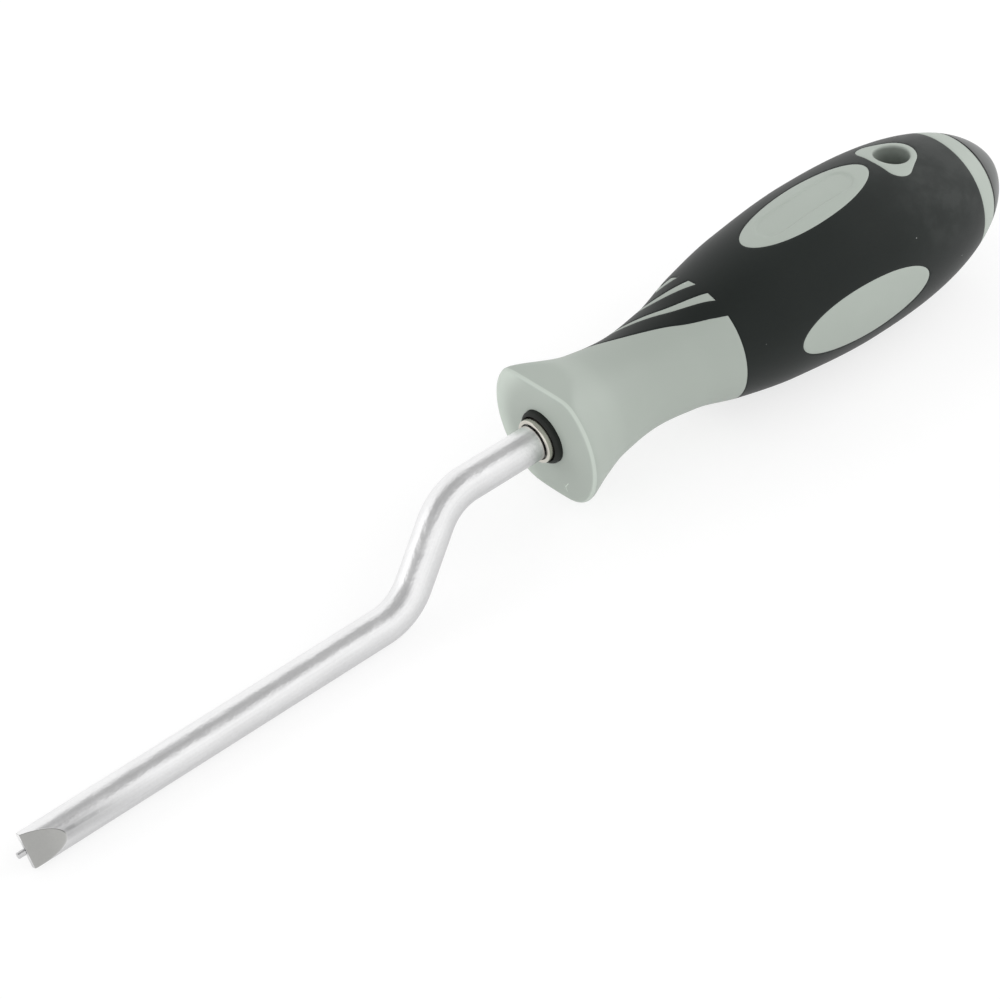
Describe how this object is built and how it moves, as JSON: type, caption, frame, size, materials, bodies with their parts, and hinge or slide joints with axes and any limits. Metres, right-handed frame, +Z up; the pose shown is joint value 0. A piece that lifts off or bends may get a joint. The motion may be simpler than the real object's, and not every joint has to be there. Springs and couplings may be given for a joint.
{
  "type": "spoke nipple screwdriver",
  "caption": "Screwdriver with a cranked steel shank that spins freely in a soft-covered handle; its slotted blade carries a small pilot pin for turning spoke nipples through a rim.",
  "frame": {"origin": "middle of the bounding box's underside, on the surface that the handle lies on", "axes": "+X along the handle's axis from the blade to the butt, +Y to the left of that, +Z up through the hang hole"},
  "size_m": [0.2392, 0.0338, 0.0339],
  "materials": {
    "satin_steel": "satin plated",
    "bright_steel": "ground",
    "pale_bronze": "turned",
    "grey_green_plastic": "satin moulded",
    "black_soft_cover": "matte overmould",
    "black_rubber": "matte"
  },
  "bodies": {
    "handle": {"handle_core": "grey_green_plastic", "grip_cover": "black_soft_cover", "butt_pad": "black_soft_cover", "bearing_tube": "bright_steel", "front_bush": "pale_bronze", "rear_bush": "pale_bronze", "thrust_washer": "bright_steel", "dust_seal": "black_rubber"},
    "shank": {"cranked_shank": "satin_steel", "pilot_pin": "satin_steel", "retaining_ring": "bright_steel"}
  },
  "joints": [
    {"name": "shank_spin", "type": "hinge", "parent": "handle", "child": "shank", "pos_m": [0.00407, 0, 0.01695], "axis": [1, 0, 0], "continuous": true}
  ]
}
